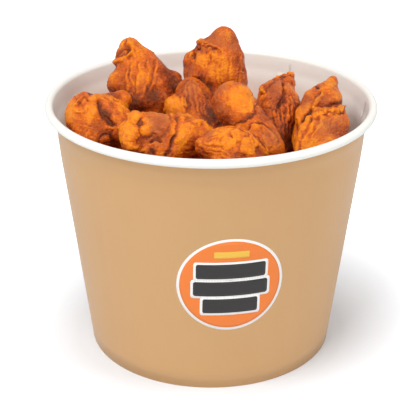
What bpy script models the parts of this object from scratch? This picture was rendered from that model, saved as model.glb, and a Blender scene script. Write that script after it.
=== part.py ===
"""A round paper food bucket with a rolled rim, filled with fried chicken wings.

The bucket is one paper wall, turned up from a folded hem at the bottom to a rolled
bead at the top, a recessed base disc whose skirt is held in the hem, and a round
sticker on the front.  Every wing that shows is a solid of its own.  The wings lower
down are one uneven heap.  All solids stand a fraction of a millimetre apart.

Units are metres, +Z is up, and the origin is the centre of the circle that the
bucket stands on.  The front of the bucket faces -Y.
"""

import math
from collections import namedtuple

import bmesh
import bpy
from mathutils import Matrix, Vector, noise
from mathutils.bvhtree import BVHTree

MM = 0.001

# ---- Driving dimensions of the bucket -------------------------------------------
RIM_OUTER_RADIUS = 108.0 * MM
BASE_OUTER_RADIUS = 82.0 * MM
BUCKET_HEIGHT = 169.6 * MM
PAPER = 0.6 * MM
GAP = 0.3 * MM
CURL_RADIUS = 2.5 * MM
CURL_ANGLES = (-110, -70, -35, 0, 45, 90, 135)
HEM_HEIGHT = 10.0 * MM
SHOULDER_HEIGHT = 155.0 * MM
SHOULDER_STEP = 0.7 * MM
TURN_STEPS = 48
MERGE = 0.00001

# ---- The sticker ----------------------------------------------------------------
LABEL_RADIUS = 34.0 * MM
LABEL_HEIGHT = 80.0 * MM
LABEL_ANGLE = math.radians(8.9)
LABEL_THICKNESS = 0.2 * MM
LABEL_SEGMENTS = 32
LABEL_RINGS = 3

# ---- The food -------------------------------------------------------------------
WING_CLEARANCE = 1.5 * MM
WALL_CLEARANCE = 1.0 * MM
LUMP_SIZE = 13.0 * MM
LUMP_HEIGHT = 1.3 * MM
CRUMPLE_SIZE = 6.0 * MM
CRUMPLE_HEIGHT = 0.7 * MM
NOISE_SHIFT = Vector((7.3, 3.1, 5.7))
WING_VOXEL = 2.0 * MM
SMOOTH_FACTOR = 0.6
SMOOTH_ROUNDS = 4
LOBES_ALONG_BONE = 9
GUIDE_HEIGHT = 1.5 * BUCKET_HEIGHT
FACE_FRONT = (0.0, -0.85, 0.55)
FACE_UP = (0.0, -0.2, 1.0)

# One wing: the two ends of its bone, its half widths from one end to the other, how
# flat it is, the way its broad side faces, and extra lobes of flesh or skin.  A lobe
# is (share of the bone, offset across, offset outwards, radius).  Millimetres.
Wing = namedtuple("Wing", "name start end widths flatness face lobes seed triangles")

WINGS = (
    Wing("wing_front_middle", (-4, -79, 167), (31, -73, 162), (6, 11.5, 13.5, 11, 5), 0.8,
         FACE_FRONT, ((0.45, 7, 1, 6), (0.85, 7, 2, 4), (0.4, -11, 0, 12), (0.75, -12, 2, 11)),
         1, 420),
    Wing("wing_front_left", (-46, -66, 170), (-10, -58, 163), (10, 12, 13.5, 14, 12), 0.9,
         FACE_FRONT, ((0.0, 9, 4, 5.5), (-0.1, -8, 4, 6), (0.28, 10, 1, 5), (0.8, 11, -3, 6),
                      (0.4, -10, 0, 13)), 2, 440),
    Wing("wing_far_right", (54, -60, 158), (82, -27, 164), (5, 10, 13, 12.5, 7), 0.7,
         FACE_FRONT, ((1.15, 5, 0, 4.5), (0.35, 7, 2, 4), (0.4, -10, 0, 11)), 3, 400),
    Wing("wing_round_end", (13, -37, 180), (34, -58, 157), (12.5, 12.5, 12.5, 12.5, 12), 0.95,
         FACE_FRONT, ((0.05, 3, 2, 10.5), (0.2, -2, -9, 10)), 4, 400),
    Wing("wing_left", (-79, -31, 169), (-52, -40, 160), (14, 15, 14, 12.5, 10), 0.9,
         FACE_FRONT, ((0.3, 15, -6, 7), (0.5, 20, -7, 6), (0.1, -6, 3, 9), (0.3, -12, 0, 12)),
         5, 420),
    Wing("wing_right", (77, 9, 173), (61, -36, 150), (7, 13, 14.5, 13, 10), 0.75,
         FACE_FRONT, ((0.3, -9, 3, 5), (-0.15, 1, 0, 4)), 6, 400),
    Wing("wing_dark", (47, 24, 169), (38, -32, 146), (8, 14, 15, 14, 11), 0.85,
         FACE_FRONT, ((-0.15, 5, 0, 4.5), (0.25, 8, 2, 6), (0.2, -8, 2, 6)), 7, 400),
    Wing("wing_middle", (-14, 6, 173), (-3, -28, 153), (9, 13, 14, 14, 12), 0.85,
         FACE_FRONT, ((0.4, -11, 2, 10),), 8, 380),
    Wing("wing_tall_centre", (8, 29, 200.5), (1, 21, 148), (9, 15.5, 20, 21, 17), 0.8,
         FACE_FRONT, ((0.17, -16, -3, 3.5), (0.15, -10, -2, 7), (0.35, -19, -6, 6),
                      (0.5, -17, -3, 7)), 9, 460),
    Wing("wing_tall_left", (-54, 29, 193), (-38, 12, 158), (8.5, 13, 18, 20, 14), 0.75,
         FACE_FRONT, ((0.1, -7, 2, 5), (0.72, 18, 0, 7), (0.82, 17, 0, 7), (0.42, -15, 0, 9)),
         10, 460),
    Wing("wing_behind_right", (83, 4, 160), (62, 32, 146), (4, 9, 13, 14, 11), 0.85,
         FACE_UP, (), 11, 260),
    Wing("wing_back_left", (-74, 22, 144), (-46, 66, 134), (12, 15, 16, 15, 11), 0.85,
         FACE_UP, ((0.1, 6, 0, 7),), 12, 280),
    Wing("wing_back_middle", (-26, 72, 137), (26, 76, 132), (10, 13, 16, 17, 14), 0.8,
         FACE_UP, ((0.8, -7, 2, 8),), 13, 280),
    Wing("wing_back_right", (38, 58, 139), (66, 50, 128), (12, 14, 16, 15, 11), 0.8,
         FACE_UP, (), 14, 260),
    Wing("wing_back_low", (-24, 47, 130), (24, 48, 126), (8, 11, 12, 11, 8), 0.85,
         FACE_UP, (), 15, 240),
)

# The heap of lower wings: its level where nothing stands out of it, and the backs of
# single wings that do, each given as its middle and its radius in millimetres.
HEAP_LEVEL = 112.0 * MM
HEAP_RINGS = 14
HEAP_SEGMENTS = 36
HEAP_CLEARANCE = 2.3 * MM
HEAP_PROBES = 8
HEAP_BACKS = (
    (-76, -8, 122, 20),
    (-62, -48, 130, 22),
    (-26, -70, 134, 21),
    (10, -74, 132, 20),
    (48, -66, 131, 20),
    (72, -30, 128, 22),
    (70, 14, 120, 20),
    (30, -30, 131, 22),
    (26, 12, 124, 22),
    (-16, -36, 132, 23),
    (-20, 2, 128, 23),
    (-54, -10, 128, 22),
    (-50, 34, 112, 22),
    (-4, 40, 104, 20),
    (-20, 74, 104, 20),
    (40, 44, 108, 22),
    (26, 76, 100, 20),
)

COLLECTION = bpy.data.collections.new("chicken_wings_serving")
GUIDES = bpy.data.collections.new("guides")


def clear_scene():
    """Removes whatever the file holds, and links the two collections."""
    for leftover in list(bpy.data.objects):
        bpy.data.objects.remove(leftover, do_unlink=True)
    bpy.context.scene.collection.children.link(COLLECTION)
    bpy.context.scene.collection.children.link(GUIDES)


def finish(name, colour, roughness):
    """A Principled material for one kind of surface."""
    material = bpy.data.materials.new(name)
    material.use_nodes = True
    shader = material.node_tree.nodes["Principled BSDF"]
    shader.inputs["Base Color"].default_value = (*colour, 1.0)
    shader.inputs["Roughness"].default_value = roughness
    shader.inputs["Metallic"].default_value = 0.0
    material.diffuse_color = (*colour, 1.0)
    return material


def add_object(name, mesh, material=None, collection=COLLECTION):
    """Links a mesh to the model under a name."""
    piece = bpy.data.objects.new(name, mesh)
    collection.objects.link(piece)
    if material is not None:
        mesh.materials.append(material)
    return piece


def evaluated_mesh(piece):
    """The object's mesh with its modifiers worked out."""
    depsgraph = bpy.context.evaluated_depsgraph_get()
    return bpy.data.meshes.new_from_object(piece.evaluated_get(depsgraph))


# ---- The bucket -----------------------------------------------------------------

def wall_middle(height):
    """Radius of the middle of the wall's paper at a height."""
    curl_centre_height = BUCKET_HEIGHT - PAPER / 2 - CURL_RADIUS
    top = RIM_OUTER_RADIUS - PAPER / 2 - 2 * CURL_RADIUS
    bottom = BASE_OUTER_RADIUS - PAPER / 2
    return bottom + (top - bottom) * height / curl_centre_height


def turned_sheet(name, outline, material):
    """A paper sheet turned round the upright axis from an open outline."""
    mesh = bpy.data.meshes.new(name)
    edges = [(i, i + 1) for i in range(len(outline) - 1)]
    mesh.from_pydata([(radius, 0.0, height) for radius, height in outline], edges, [])
    piece = add_object(name, mesh, material)
    turn = piece.modifiers.new("turn", "SCREW")
    turn.axis = "Z"
    turn.angle = 2 * math.pi
    turn.steps = TURN_STEPS
    turn.render_steps = TURN_STEPS
    turn.use_merge_vertices = True
    turn.merge_threshold = MERGE
    turn.use_smooth_shade = True
    thickness = piece.modifiers.new("paper", "SOLIDIFY")
    thickness.thickness = PAPER
    thickness.offset = 0.0
    thickness.use_even_offset = True
    return piece


def wall_outline():
    """From the end of the rim's curl, over the rim, down the wall and up the hem."""
    curl_height = BUCKET_HEIGHT - PAPER / 2 - CURL_RADIUS
    curl_middle = wall_middle(curl_height) + CURL_RADIUS
    outline = []
    for degrees in CURL_ANGLES:
        angle = math.radians(degrees)
        outline.append((curl_middle + CURL_RADIUS * math.cos(angle),
                        curl_height + CURL_RADIUS * math.sin(angle)))
    outline.append((wall_middle(curl_height), curl_height))
    outline.append((wall_middle(SHOULDER_HEIGHT), SHOULDER_HEIGHT))
    outline.append((wall_middle(SHOULDER_HEIGHT) - SHOULDER_STEP,
                    SHOULDER_HEIGHT - 2 * SHOULDER_STEP))
    outline.append((wall_middle(PAPER / 2), PAPER / 2))
    hem = 2 * (PAPER + GAP)
    outline.append((wall_middle(PAPER / 2) - hem, PAPER / 2))
    outline.append((wall_middle(HEM_HEIGHT) - hem, HEM_HEIGHT))
    return outline


def base_outline():
    """From the skirt's lower edge, up inside the wall and across to the axis."""
    skirt = PAPER + GAP
    high = HEM_HEIGHT + GAP + PAPER / 2
    return [
        (wall_middle(skirt) - skirt, skirt),
        (wall_middle(high) - skirt, high),
        (0.0, high),
    ]


def make_label(material):
    """A round sticker bent round the tapered wall, a gap off the paper."""
    bm = bmesh.new()
    bmesh.ops.create_circle(bm, cap_ends=True, cap_tris=True, segments=LABEL_SEGMENTS,
                            radius=LABEL_RADIUS)
    spokes = [edge for edge in bm.edges if not edge.is_boundary]
    bmesh.ops.subdivide_edges(bm, edges=spokes, cuts=LABEL_RINGS)
    slope = (wall_middle(BUCKET_HEIGHT) - wall_middle(0.0)) / BUCKET_HEIGHT
    lean = math.cos(math.atan(slope))
    for vertex in bm.verts:
        height = LABEL_HEIGHT + vertex.co.y * lean
        radius = wall_middle(height) + PAPER / 2 + GAP
        angle = LABEL_ANGLE + vertex.co.x / radius
        vertex.co = (radius * math.sin(angle), -radius * math.cos(angle), height)
    mesh = bpy.data.meshes.new("label")
    bm.to_mesh(mesh)
    bm.free()
    piece = add_object("label", mesh, material)
    thickness = piece.modifiers.new("paper", "SOLIDIFY")
    thickness.thickness = LABEL_THICKNESS
    thickness.offset = 1.0
    return piece


def make_inside_guide():
    """A cone that follows the inner face of the wall, for the food to stay within."""
    inner = PAPER / 2 + WALL_CLEARANCE
    low = HEM_HEIGHT + 2 * PAPER + 2 * GAP
    bm = bmesh.new()
    bmesh.ops.create_cone(bm, cap_ends=True, segments=TURN_STEPS,
                          radius1=wall_middle(low) - inner,
                          radius2=wall_middle(GUIDE_HEIGHT) - inner,
                          depth=GUIDE_HEIGHT - low,
                          matrix=Matrix.Translation((0.0, 0.0, (low + GUIDE_HEIGHT) / 2)))
    mesh = bpy.data.meshes.new("inside_guide")
    bm.to_mesh(mesh)
    bm.free()
    guide = add_object("inside_guide", mesh, collection=GUIDES)
    guide.hide_render = True
    guide.display_type = "WIRE"
    return guide


# ---- The wings ------------------------------------------------------------------

def along(widths, share):
    """Half width at a share of the bone, eased between the named widths."""
    place = share * (len(widths) - 1)
    index = min(int(place), len(widths) - 2)
    part = place - index
    eased = part * part * (3 - 2 * part)
    return widths[index] * (1 - eased) + widths[index + 1] * eased


def wing_frame(wing):
    """The wing's own axes as columns: along the bone, across it, and outwards."""
    bone = (Vector(wing.end) - Vector(wing.start)).normalized()
    across = Vector(wing.face).cross(bone).normalized()
    outwards = bone.cross(across)
    return Matrix((bone, across, outwards)).transposed()


def add_lobe(bm, frame, centre, radii):
    """One ellipsoid of flesh, in the wing's own axes."""
    matrix = Matrix.Translation(centre) @ frame.to_4x4() @ Matrix.Diagonal((*radii, 1.0))
    bmesh.ops.create_icosphere(bm, subdivisions=3, radius=1.0, matrix=matrix)


def flesh(wing):
    """The overlapping lobes of one wing, as one loose mesh."""
    frame = wing_frame(wing)
    start = Vector(wing.start) * MM
    bone = Vector(wing.end) * MM - start
    bm = bmesh.new()
    for index in range(LOBES_ALONG_BONE):
        share = index / (LOBES_ALONG_BONE - 1)
        width = along(wing.widths, share) * MM
        add_lobe(bm, frame, start + bone * share, (width, width, width * wing.flatness))
    for share, across, outwards, radius in wing.lobes:
        centre = start + bone * share + frame @ Vector((0.0, across * MM, outwards * MM))
        add_lobe(bm, frame, centre, (radius * MM,) * 3)
    mesh = bpy.data.meshes.new(wing.name)
    bm.to_mesh(mesh)
    bm.free()
    return mesh


def roughen(mesh, seed):
    """Raises and lowers a surface by soft noise, big lumps first, then crumples."""
    bm = bmesh.new()
    bm.from_mesh(mesh)
    bm.normal_update()
    shift = seed * NOISE_SHIFT
    lift = {}
    for vertex in bm.verts:
        lumps = noise.noise(vertex.co / LUMP_SIZE + shift)
        crumples = noise.noise(vertex.co / CRUMPLE_SIZE - shift)
        lift[vertex] = lumps * LUMP_HEIGHT + crumples * CRUMPLE_HEIGHT
    for vertex, height in lift.items():
        vertex.co += vertex.normal * height
    bm.to_mesh(mesh)
    bm.free()


def make_wing(wing, material):
    """Welds a wing's lobes to one closed skin, smooths and roughens it, thins its faces."""
    raw = add_object(wing.name, flesh(wing), collection=GUIDES)
    remesh = raw.modifiers.new("skin", "REMESH")
    remesh.mode = "VOXEL"
    remesh.voxel_size = WING_VOXEL
    smooth = raw.modifiers.new("soften", "SMOOTH")
    smooth.factor = SMOOTH_FACTOR
    smooth.iterations = SMOOTH_ROUNDS
    skin = evaluated_mesh(raw)
    bpy.data.objects.remove(raw, do_unlink=True)
    roughen(skin, wing.seed)
    piece = add_object(wing.name, skin, material)
    full = sum(len(face.vertices) - 2 for face in skin.polygons)
    thin = piece.modifiers.new("thin", "DECIMATE")
    thin.ratio = wing.triangles / full
    thin.use_collapse_triangulate = True
    skin.shade_smooth()
    return piece


def box_of(piece):
    """Lowest and highest corner of an object's own mesh."""
    points = [vertex.co for vertex in piece.data.vertices]
    low = Vector(min(point[axis] for point in points) for axis in range(3))
    high = Vector(max(point[axis] for point in points) for axis in range(3))
    return low, high


def near(first, second, margin):
    """True where the boxes of two objects come within a margin of each other."""
    low_a, high_a = box_of(first)
    low_b, high_b = box_of(second)
    return all(low_a[axis] - margin < high_b[axis] and low_b[axis] - margin < high_a[axis]
               for axis in range(3))


def keep_clear(piece, neighbours, guide):
    """Presses a soft piece back from what is already there, and in from the wall."""
    for neighbour in neighbours:
        if near(piece, neighbour, WING_CLEARANCE):
            press = piece.modifiers.new("press_" + neighbour.name, "SHRINKWRAP")
            press.target = neighbour
            press.wrap_method = "NEAREST_SURFACEPOINT"
            press.wrap_mode = "OUTSIDE"
            press.offset = WING_CLEARANCE
    hold = piece.modifiers.new("hold", "SHRINKWRAP")
    hold.target = guide
    hold.wrap_method = "NEAREST_SURFACEPOINT"
    hold.wrap_mode = "INSIDE"


def heap_height(x, y, covers):
    """Height of the heap's top, kept under whatever lies on it."""
    height = HEAP_LEVEL
    for middle_x, middle_y, middle_z, radius in HEAP_BACKS:
        rise = (radius * MM) ** 2 - (x - middle_x * MM) ** 2 - (y - middle_y * MM) ** 2
        if rise > 0.0:
            height = max(height, middle_z * MM + math.sqrt(rise))
    height += CRUMPLE_HEIGHT * noise.noise(Vector((x, y, 0.0)) / CRUMPLE_SIZE)
    spread = wall_middle(HEAP_LEVEL) / HEAP_RINGS / 2
    probes = [Vector((x, y, 0.0))]
    for step in range(HEAP_PROBES):
        turn = 2 * math.pi * step / HEAP_PROBES
        probes.append(Vector((x + spread * math.cos(turn), y + spread * math.sin(turn), 0.0)))
    for probe in probes:
        for cover in covers:
            hit = cover.ray_cast(probe, Vector((0.0, 0.0, 1.0)))[0]
            if hit is not None:
                height = min(height, hit.z - HEAP_CLEARANCE)
    return height


def make_heap(name, wings, material):
    """The lower wings: one solid from the bucket's base to an uneven top."""
    depsgraph = bpy.context.evaluated_depsgraph_get()
    covers = [BVHTree.FromObject(wing, depsgraph) for wing in wings]
    low = HEM_HEIGHT + PAPER + 2 * GAP
    inner = PAPER / 2 + WALL_CLEARANCE
    bm = bmesh.new()
    bmesh.ops.create_circle(bm, cap_ends=True, cap_tris=True, segments=HEAP_SEGMENTS,
                            radius=wall_middle(HEAP_LEVEL) - inner)
    spokes = [edge for edge in bm.edges if not edge.is_boundary]
    bmesh.ops.subdivide_edges(bm, edges=spokes, cuts=HEAP_RINGS - 1)
    top = bm.verts[:]
    rim = [edge for edge in bm.edges if edge.is_boundary]
    skirt = bmesh.ops.extrude_edge_only(bm, edges=rim)["geom"]
    foot = [part for part in skirt if isinstance(part, bmesh.types.BMVert)]
    shrink = (wall_middle(low) - inner) / (wall_middle(HEAP_LEVEL) - inner)
    for vertex in foot:
        vertex.co = (vertex.co.x * shrink, vertex.co.y * shrink, low)
    bmesh.ops.contextual_create(bm, geom=foot)
    for vertex in top:
        vertex.co.z = heap_height(vertex.co.x, vertex.co.y, covers)
    bmesh.ops.triangulate(bm, faces=bm.faces)
    bmesh.ops.recalc_face_normals(bm, faces=bm.faces)
    mesh = bpy.data.meshes.new(name)
    bm.to_mesh(mesh)
    bm.free()
    mesh.shade_smooth()
    return add_object(name, mesh, material)


def main():
    clear_scene()
    paper = finish("bucket_paper", (0.66, 0.39, 0.18), 0.5)
    base_board = finish("base_board", (0.83, 0.79, 0.70), 0.6)
    sticker = finish("label_print", (0.90, 0.33, 0.08), 0.4)
    fried = finish("fried_skin", (0.62, 0.19, 0.03), 0.35)
    turned_sheet("bucket_wall", wall_outline(), paper)
    turned_sheet("bucket_base", base_outline(), base_board)
    make_label(sticker)
    guide = make_inside_guide()
    placed = []
    for wing in WINGS:
        piece = make_wing(wing, fried)
        keep_clear(piece, placed, guide)
        placed.append(piece)
    make_heap("lower_wings", placed, fried)


main()
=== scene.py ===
"""Fried chicken wings in a paper bucket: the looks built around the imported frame.

Everything is in metres, +Z is up, and the front of the bucket faces -Y.
"""
from __future__ import annotations

import itertools
import logging
import math
from dataclasses import dataclass, field
from enum import Enum

import bmesh
import bpy
import numpy as np
from mathutils import Matrix, Vector
from mathutils.bvhtree import BVHTree


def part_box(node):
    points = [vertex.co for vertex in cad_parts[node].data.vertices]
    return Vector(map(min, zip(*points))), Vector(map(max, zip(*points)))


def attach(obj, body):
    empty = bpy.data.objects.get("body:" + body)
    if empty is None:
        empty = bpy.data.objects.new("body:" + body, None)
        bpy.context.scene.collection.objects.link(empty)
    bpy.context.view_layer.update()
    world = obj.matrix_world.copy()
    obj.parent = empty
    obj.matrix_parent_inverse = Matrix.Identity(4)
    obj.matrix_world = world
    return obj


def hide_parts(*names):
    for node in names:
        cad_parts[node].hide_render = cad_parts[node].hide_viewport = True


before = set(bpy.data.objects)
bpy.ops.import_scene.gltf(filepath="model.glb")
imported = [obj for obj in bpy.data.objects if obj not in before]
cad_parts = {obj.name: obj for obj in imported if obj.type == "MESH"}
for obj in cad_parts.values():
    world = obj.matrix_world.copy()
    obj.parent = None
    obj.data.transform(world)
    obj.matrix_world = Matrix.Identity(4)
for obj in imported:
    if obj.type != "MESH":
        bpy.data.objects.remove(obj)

MM = 0.001
ROOT = "root"
VIEW_PITCH = math.radians(24.68)
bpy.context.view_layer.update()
Colour = tuple[float, float, float]

logging.basicConfig(level=logging.INFO, format="%(message)s")
log = logging.getLogger("wings")


# ---- Small helpers --------------------------------------------------------------

def new_object(name: str, mesh: bpy.types.Mesh) -> bpy.types.Object:
    """Links a mesh to the scene as an object at the origin.

    Args:
        name: The object's name.
        mesh: Its mesh, already in place.

    Returns:
        The new object.
    """
    piece = bpy.data.objects.new(name, mesh)
    bpy.context.scene.collection.objects.link(piece)
    return piece


def mesh_from(name: str, bm: bmesh.types.BMesh) -> bpy.types.Mesh:
    """Turns a bmesh into a mesh and frees it.

    Args:
        name: The mesh's name.
        bm: The bmesh.

    Returns:
        The new mesh.
    """
    mesh = bpy.data.meshes.new(name)
    bm.to_mesh(mesh)
    bm.free()
    return mesh


def applied(piece: bpy.types.Object) -> bpy.types.Mesh:
    """Works out an object's modifiers and removes the object.

    Args:
        piece: An object with live modifiers.

    Returns:
        The finished mesh.
    """
    depsgraph = bpy.context.evaluated_depsgraph_get()
    mesh = bpy.data.meshes.new_from_object(piece.evaluated_get(depsgraph))
    bpy.data.objects.remove(piece, do_unlink=True)
    return mesh


def smoothstep(low: float, high: float, values: np.ndarray) -> np.ndarray:
    """Eases values from 0 at low to 1 at high."""
    share = np.clip((values - low) / (high - low), 0.0, 1.0)
    return share * share * (3.0 - 2.0 * share)


class SoftNoise:
    """Smooth seeded noise, worked out for many points at once."""

    def __init__(self, seed: int) -> None:
        """Draws the table of slopes from a seed."""
        rng = np.random.default_rng(seed)
        self.table = rng.permutation(256)
        slopes = rng.normal(size=(256, 3))
        self.slopes = slopes / np.linalg.norm(slopes, axis=1, keepdims=True)

    def __call__(self, points: np.ndarray) -> np.ndarray:
        """Noise of about -1 to 1.

        Args:
            points: Places, one row each, in noise cells.

        Returns:
            One value for each place.
        """
        cell = np.floor(points).astype(int)
        local = points - cell
        ease = local ** 3 * (local * (6.0 * local - 15.0) + 10.0)
        total = np.zeros(len(points))
        for corner in itertools.product((0, 1), repeat=3):
            index = (cell + corner) & 255
            pick = self.table[index[:, 0]]
            pick = self.table[(pick + index[:, 1]) & 255]
            pick = self.table[(pick + index[:, 2]) & 255]
            slope = ((local - corner) * self.slopes[pick]).sum(axis=1)
            weight = np.where(corner, ease, 1.0 - ease).prod(axis=1)
            total += slope * weight
        return 1.6 * total


class NodeKit:
    """Adds and joins the nodes of one material."""

    def __init__(self, name: str) -> None:
        """Starts a material with a Principled shader."""
        self.material = bpy.data.materials.new(name)
        self.material.use_nodes = True
        self.tree = self.material.node_tree
        self.shader = self.tree.nodes["Principled BSDF"]

    def add(self, kind: str, **settings: object) -> bpy.types.Node:
        """Adds a node and sets its properties and named inputs.

        Args:
            kind: The node's type name.
            settings: Properties by name, or inputs by name with _ for a space.

        Returns:
            The new node.
        """
        node = self.tree.nodes.new(kind)
        for name, value in settings.items():
            if hasattr(node, name):
                setattr(node, name, value)
            else:
                node.inputs[name.replace("_", " ")].default_value = value
        return node

    def join(self, source: bpy.types.NodeSocket, target: bpy.types.NodeSocket) -> None:
        """Links one socket to another."""
        self.tree.links.new(source, target)

    def attribute(self, name: str) -> bpy.types.NodeSocket:
        """The value that a mesh carries under a name."""
        return self.add("ShaderNodeAttribute", attribute_name=name).outputs["Fac"]

    def ramp(self, value: bpy.types.NodeSocket,
             stops: tuple[tuple[float, Colour], ...]) -> bpy.types.NodeSocket:
        """Turns a value into a colour by named stops.

        Args:
            value: The value that picks the colour.
            stops: Places from 0 to 1 and their colours.

        Returns:
            The colour socket.
        """
        node = self.add("ShaderNodeValToRGB")
        ramp = node.color_ramp
        while len(ramp.elements) < len(stops):
            ramp.elements.new(0.5)
        for element, (place, colour) in zip(ramp.elements, stops):
            element.position = place
            element.color = (*colour, 1.0)
        self.join(value, node.inputs["Fac"])
        return node.outputs["Color"]

    def mix(self, share: bpy.types.NodeSocket | float, first: bpy.types.NodeSocket | Colour,
            second: bpy.types.NodeSocket | Colour, blend: str = "MIX") -> bpy.types.NodeSocket:
        """Mixes two colours.

        Args:
            share: How much of the second colour.
            first: The first colour or socket.
            second: The second colour or socket.
            blend: The way of mixing.

        Returns:
            The mixed colour.
        """
        node = self.add("ShaderNodeMix", data_type="RGBA", blend_type=blend)
        sockets = [item for item in node.inputs if item.enabled]
        for socket, value in zip(sockets, (share, first, second)):
            if isinstance(value, bpy.types.NodeSocket):
                self.join(value, socket)
            elif isinstance(value, tuple):
                socket.default_value = (*value, 1.0)
            else:
                socket.default_value = value
        return next(item for item in node.outputs if item.enabled)

    def math(self, kind: str, first: bpy.types.NodeSocket,
             second: bpy.types.NodeSocket | float) -> bpy.types.NodeSocket:
        """One sum on two values.

        Args:
            kind: The operation.
            first: The first value.
            second: The second value or socket.

        Returns:
            The result.
        """
        node = self.add("ShaderNodeMath", operation=kind)
        self.join(first, node.inputs[0])
        if isinstance(second, bpy.types.NodeSocket):
            self.join(second, node.inputs[1])
        else:
            node.inputs[1].default_value = second
        return node.outputs[0]

    def clamp(self, value: bpy.types.NodeSocket) -> bpy.types.NodeSocket:
        """Holds a value between 0 and 1."""
        node = self.add("ShaderNodeClamp")
        self.join(value, node.inputs["Value"])
        return node.outputs["Result"]

    def place(self) -> bpy.types.NodeSocket:
        """The object coordinates."""
        return self.add("ShaderNodeTexCoord").outputs["Object"]

    def noise(self, scale: float, detail: float, rough: float = 0.5,
              stretch: tuple[float, float, float] = (1.0, 1.0, 1.0)) -> bpy.types.NodeSocket:
        """Noise on the object coordinates.

        Args:
            scale: Cells for each metre.
            detail: How many finer layers it has.
            rough: How strong the finer layers are.
            stretch: Extra scale along each axis.

        Returns:
            The noise value.
        """
        mapping = self.add("ShaderNodeMapping")
        mapping.inputs["Scale"].default_value = stretch
        self.join(self.place(), mapping.inputs["Vector"])
        node = self.add("ShaderNodeTexNoise", Scale=scale, Detail=detail, Roughness=rough)
        self.join(mapping.outputs["Vector"], node.inputs["Vector"])
        return node.outputs["Fac"]

    def bump(self, height: bpy.types.NodeSocket, strength: float, distance: float,
             under: bpy.types.NodeSocket | None = None) -> bpy.types.NodeSocket:
        """Raises the surface by a value, over an earlier bump.

        Args:
            height: The value that raises.
            strength: How much of it is used.
            distance: The height that a value of 1 stands for, in metres.
            under: The earlier bump's normal.

        Returns:
            The new normal.
        """
        node = self.add("ShaderNodeBump", Strength=strength, Distance=distance)
        self.join(height, node.inputs["Height"])
        if under is not None:
            self.join(under, node.inputs["Normal"])
        return node.outputs["Normal"]


# ---- Finishes -------------------------------------------------------------------

@dataclass(frozen=True)
class FriedSkin:
    """Crisp fried skin: golden where thin and taut, red-brown and duller where it is done most; the
    same ramp also carries painted shade in hollows, creases, undersides and right-hand sides.
    """

    gold: Colour = (0.90, 0.27, 0.006)
    orange: Colour = (0.68, 0.125, 0.004)
    russet: Colour = (0.36, 0.045, 0.004)
    # dark: the most-fried skin at the end of the ramp, and also the colour of the painted shade in
    # hollows.
    dark: Colour = (0.12, 0.014, 0.003)
    dry: Colour = (0.46, 0.130, 0.046)
    roughness: float = 0.18
    mottle_scale: float = 190.0
    mottle_share: float = 0.65
    speckle_scale: float = 420.0
    speckle_share: float = 0.75
    pore_scale: float = 620.0
    wrinkle_scale: float = 380.0
    grain_scale: float = 950.0

    def material(self) -> bpy.types.Material:
        """Builds the node material that reads from the mesh the roast with its painted shade, the
        dryness, and the painted shade of the hollows.
        """
        kit = NodeKit("fried_skin")
        mottle = kit.noise(self.mottle_scale, 4.0, 0.65)
        speckle = kit.noise(self.speckle_scale, 3.0, 0.65)
        mottled = kit.math("MULTIPLY", kit.math("SUBTRACT", mottle, 0.5), self.mottle_share)
        flecks = kit.math("MULTIPLY", kit.math("SUBTRACT", speckle, 0.5), self.speckle_share)
        # The roast value from the mesh includes painted shade; the noise adds real unevenness of
        # tone.
        roast_and_shade = kit.math("ADD", kit.attribute("roast_and_shade"), kit.math("ADD", mottled, flecks))
        skin = kit.ramp(roast_and_shade, ((0.05, self.gold), (0.38, self.orange),
                                (0.74, self.russet), (1.0, self.dark)))
        dusting = kit.math("ADD", kit.attribute("dry"), kit.math("MULTIPLY", flecks, 0.8))
        dusty = kit.math("MULTIPLY", kit.clamp(dusting), 0.8)
        crusted = kit.mix(dusty, skin, kit.mix(kit.attribute("roast_and_shade"), self.dry, self.russet))
        # Painted shade: hollows are darkened towards the dark colour.
        colour = kit.mix(kit.attribute("painted_hollow_shade"), crusted, self.dark)
        kit.join(colour, kit.shader.inputs["Base Color"])
        gloss = kit.math("ADD", kit.math("MULTIPLY", kit.math("SUBTRACT", speckle, 0.5), 0.6),
                         self.roughness)
        matt = kit.math("ADD", gloss, kit.math("MULTIPLY", dusty, 0.3))
        kit.join(matt, kit.shader.inputs["Roughness"])
        kit.shader.inputs["Specular IOR Level"].default_value = 0.6
        kit.shader.inputs["Specular Tint"].default_value = (1.0, 0.70, 0.40, 1.0)
        kit.shader.inputs["Subsurface Weight"].default_value = 0.3
        kit.shader.inputs["Subsurface Radius"].default_value = (1.0, 0.35, 0.1)
        kit.shader.inputs["Subsurface Scale"].default_value = 3.0 * MM
        pores = kit.add("ShaderNodeTexVoronoi", Scale=self.pore_scale)
        kit.join(kit.place(), pores.inputs["Vector"])
        grain = kit.bump(kit.noise(self.grain_scale, 3.0, 0.6), 0.6, 0.7 * MM)
        blisters = kit.bump(pores.outputs["Distance"], 0.5, 0.8 * MM, grain)
        wrinkles = kit.bump(kit.noise(self.wrinkle_scale, 5.0, 0.7), 0.8, 1.5 * MM, blisters)
        kit.join(wrinkles, kit.shader.inputs["Normal"])
        return kit.material


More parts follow.
